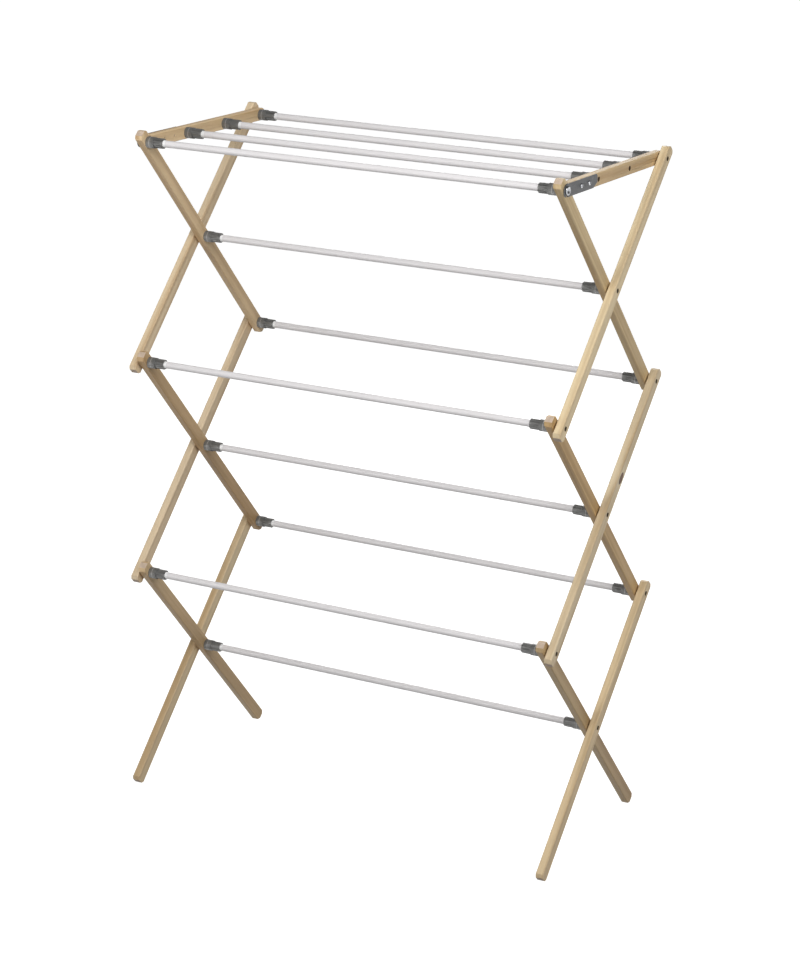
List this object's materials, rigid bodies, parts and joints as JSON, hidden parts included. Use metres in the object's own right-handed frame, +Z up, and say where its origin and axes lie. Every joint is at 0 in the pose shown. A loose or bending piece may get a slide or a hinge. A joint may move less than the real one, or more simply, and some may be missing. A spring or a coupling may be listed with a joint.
{
  "type": "folding clothes drying rack",
  "caption": "Free-standing wooden accordion drying rack with coated cross rods in plastic sockets and hooked top rails that lift so the scissor frames fold flat.",
  "frame": {"origin": "centre of the footprint on the floor", "axes": "+X to the right across the rods, +Y to the back, +Z up"},
  "size_m": [0.7494, 0.3652, 1.0795],
  "materials": {
    "lath_wood": "clear-coated softwood with eased edges",
    "rod_coating": "satin white coating on steel tube",
    "socket_plastic": "moulded grey, ribbed sleeve",
    "latch_steel": "dull grey zinc",
    "fastener_steel": "bright zinc plate",
    "pivot_steel": "black zinc plate"
  },
  "bodies": {
    "bottom_rod_unit": {"lower_cross_rod": "rod_coating", "lower_cross_sockets": "socket_plastic", "lower_cross_screws": "pivot_steel", "lower_cross_washers": "pivot_steel"},
    "bottom_inner_laths": {"left_inner_bottom_lath": "lath_wood", "right_inner_bottom_lath": "lath_wood", "lower_front_rod": "rod_coating", "lower_front_sockets": "socket_plastic", "bottom_lath_screws": "pivot_steel", "bottom_lath_washers": "pivot_steel"},
    "bottom_outer_laths": {"left_outer_bottom_lath": "lath_wood", "right_outer_bottom_lath": "lath_wood"},
    "middle_inner_laths": {"left_inner_middle_lath": "lath_wood", "right_inner_middle_lath": "lath_wood", "upper_front_rod": "rod_coating", "upper_front_sockets": "socket_plastic", "middle_cross_rod": "rod_coating", "middle_cross_sockets": "socket_plastic", "lower_back_rod": "rod_coating", "lower_back_sockets": "socket_plastic", "middle_lath_screws": "pivot_steel", "middle_lath_washers": "pivot_steel"},
    "middle_outer_laths": {"left_outer_middle_lath": "lath_wood", "right_outer_middle_lath": "lath_wood"},
    "top_inner_laths": {"left_inner_top_lath": "lath_wood", "right_inner_top_lath": "lath_wood", "top_front_rod": "rod_coating", "top_front_sockets": "socket_plastic", "upper_cross_rod": "rod_coating", "upper_cross_sockets": "socket_plastic", "upper_back_rod": "rod_coating", "upper_back_sockets": "socket_plastic", "latch_pins": "fastener_steel", "top_lath_screws": "pivot_steel", "top_lath_washers": "pivot_steel"},
    "top_outer_laths": {"left_outer_top_lath": "lath_wood", "right_outer_top_lath": "lath_wood"},
    "top_rear_rod_unit": {"top_rear_rod": "rod_coating", "top_rear_sockets": "socket_plastic", "top_rear_screws": "pivot_steel", "top_rear_washers": "pivot_steel"},
    "tray": {"left_top_rail": "lath_wood", "right_top_rail": "lath_wood", "tray_front_rod": "rod_coating", "tray_front_sockets": "socket_plastic", "tray_rear_rod": "rod_coating", "tray_rear_sockets": "socket_plastic", "left_latch_plate": "latch_steel", "right_latch_plate": "latch_steel", "latch_plate_screws": "fastener_steel", "rail_screws": "pivot_steel"}
  },
  "joints": [
    {"name": "fold", "type": "hinge", "parent": "bottom_rod_unit", "child": "bottom_inner_laths", "pos_m": [0, 0, 0.19178], "axis": [1, 0, 0], "range_deg": [0, 43.53]},
    {"name": "bottom_outer_turn", "type": "hinge", "parent": "bottom_rod_unit", "child": "bottom_outer_laths", "pos_m": [0, 0, 0.19178], "axis": [1, 0, 0], "range_deg": [-43.53, 0]},
    {"name": "lower_back_pivot", "type": "hinge", "parent": "bottom_outer_laths", "child": "middle_inner_laths", "pos_m": [0, 0.16495, 0.36577], "axis": [1, 0, 0], "range_deg": [0, 87.05]},
    {"name": "middle_crossing", "type": "hinge", "parent": "middle_inner_laths", "child": "middle_outer_laths", "pos_m": [0, 0, 0.53975], "axis": [1, 0, 0], "range_deg": [-87.05, 0]},
    {"name": "upper_back_pivot", "type": "hinge", "parent": "middle_outer_laths", "child": "top_inner_laths", "pos_m": [0, 0.16495, 0.71374], "axis": [1, 0, 0], "range_deg": [0, 87.05]},
    {"name": "upper_crossing", "type": "hinge", "parent": "top_inner_laths", "child": "top_outer_laths", "pos_m": [0, 0, 0.88772], "axis": [1, 0, 0], "range_deg": [-87.05, 0]},
    {"name": "top_rear_turn", "type": "hinge", "parent": "top_outer_laths", "child": "top_rear_rod_unit", "pos_m": [0, 0.16495, 1.06171], "axis": [1, 0, 0], "range_deg": [0, 40.33]},
    {"name": "rail_lift", "type": "hinge", "parent": "top_rear_rod_unit", "child": "tray", "pos_m": [0, 0.16495, 1.06171], "axis": [-1, 0, 0], "range_deg": [0, 175]}
  ],
  "couplings": [
    {"joint": "bottom_outer_turn", "follows": "fold", "ratio": -1},
    {"joint": "lower_back_pivot", "follows": "fold", "ratio": 2},
    {"joint": "middle_crossing", "follows": "fold", "ratio": -2},
    {"joint": "upper_back_pivot", "follows": "fold", "ratio": 2},
    {"joint": "upper_crossing", "follows": "fold", "ratio": -2},
    {"joint": "top_rear_turn", "follows": "fold", "ratio": 0.92648}
  ]
}
